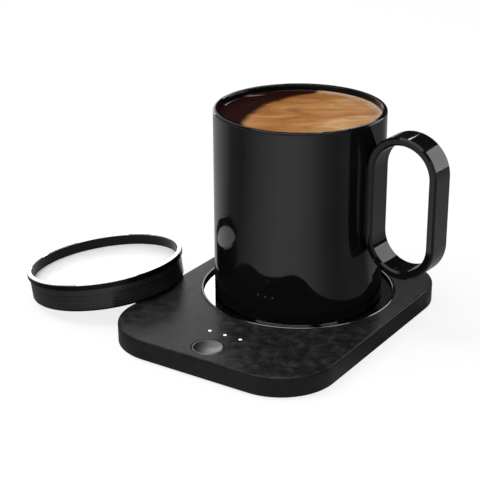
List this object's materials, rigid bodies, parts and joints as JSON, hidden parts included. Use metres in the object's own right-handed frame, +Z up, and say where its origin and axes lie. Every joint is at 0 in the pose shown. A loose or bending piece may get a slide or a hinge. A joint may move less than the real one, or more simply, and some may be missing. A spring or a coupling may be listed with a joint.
{
  "type": "electric mug warmer",
  "caption": "Thin rounded-rectangle mug warmer with a round heated seat, push button and status lights, a straight-sided mug with a band handle, and its lid.",
  "frame": {"origin": "under the middle of the base plate, on the rest pad's face, which is the surface it stands on", "axes": "+X to the right along the front (button) edge, +Y to the back, +Z up"},
  "size_m": [0.2055, 0.1466, 0.1028],
  "materials": {
    "housing": "dark grey soft-touch moulding with a fine slate texture",
    "cover": "black moulded plastic, fine texture",
    "pad": "black silicone rubber",
    "trim": "dark bright-plated ring",
    "plate": "mirror-polished stainless plate",
    "gasket": "black silicone seal",
    "film": "amber heater film with foil track",
    "insulation": "white ceramic-fibre pad",
    "steel": "zinc-plated stamped steel",
    "board": "green circuit board",
    "chip": "black moulded packages",
    "connector": "ivory moulded headers",
    "led": "white light chips",
    "pipe": "clear moulding, lit white at its pin ends",
    "switch": "black push switch",
    "button": "mid-grey satin dished cap",
    "socket": "drawn steel socket shell",
    "tongue": "black socket tongue",
    "power_lead": "red silicone-covered leads",
    "sensor_lead": "black thin leads",
    "fuse": "metal-cased thermal fuse",
    "sensor": "glass-sealed sensor bead",
    "mug_glaze": "gloss black glazed stoneware",
    "lid_shell": "gloss black moulding",
    "lid_bright": "mirror-polished stainless",
    "lid_floor": "white satin-lacquered disc",
    "lid_seal": "black silicone sleeve"
  },
  "bodies": {
    "base": {"top_housing": "housing", "bottom_cover": "cover", "rest_pad": "pad", "trim_ring": "trim", "plate_gasket": "gasket", "heating_plate": "plate", "heater_film": "film", "insulation_pad": "insulation", "heater_clamp": "steel", "clamp_screws": "steel", "case_screws": "steel", "board_screws": "steel", "control_board": "board", "board_chips": "chip", "board_connectors": "connector", "indicator_leds": "led", "light_pipe": "pipe", "switch_body": "switch", "inlet_shell": "socket", "inlet_tongue": "tongue", "inlet_board": "board", "heater_wires": "power_lead", "thermal_fuse": "fuse", "temperature_sensor": "sensor", "sensor_wires": "sensor_lead", "supply_wires": "power_lead"},
    "power_button": {"button_cap": "button", "switch_plunger": "switch"},
    "mug": {"mug_body": "mug_glaze", "mug_handle": "mug_glaze"},
    "lid": {"lid_body": "lid_shell", "lid_trim": "lid_bright", "lid_disc": "lid_floor", "lid_sleeve": "lid_seal", "lid_base": "lid_shell"}
  },
  "joints": [
    {"name": "power_button_press", "type": "slide", "parent": "base", "child": "power_button", "axis": [0, 0, -1], "range_m": [0, 0.0005], "stiffness_N_per_m": 2500},
    {"name": "mug_lift", "type": "slide", "parent": "base", "child": "mug", "axis": [0, 0, 1], "range_m": [0, 0.12]},
    {"name": "lid_lift", "type": "slide", "parent": "base", "child": "lid", "axis": [0, 0, 1], "range_m": [0, 0.12]}
  ]
}
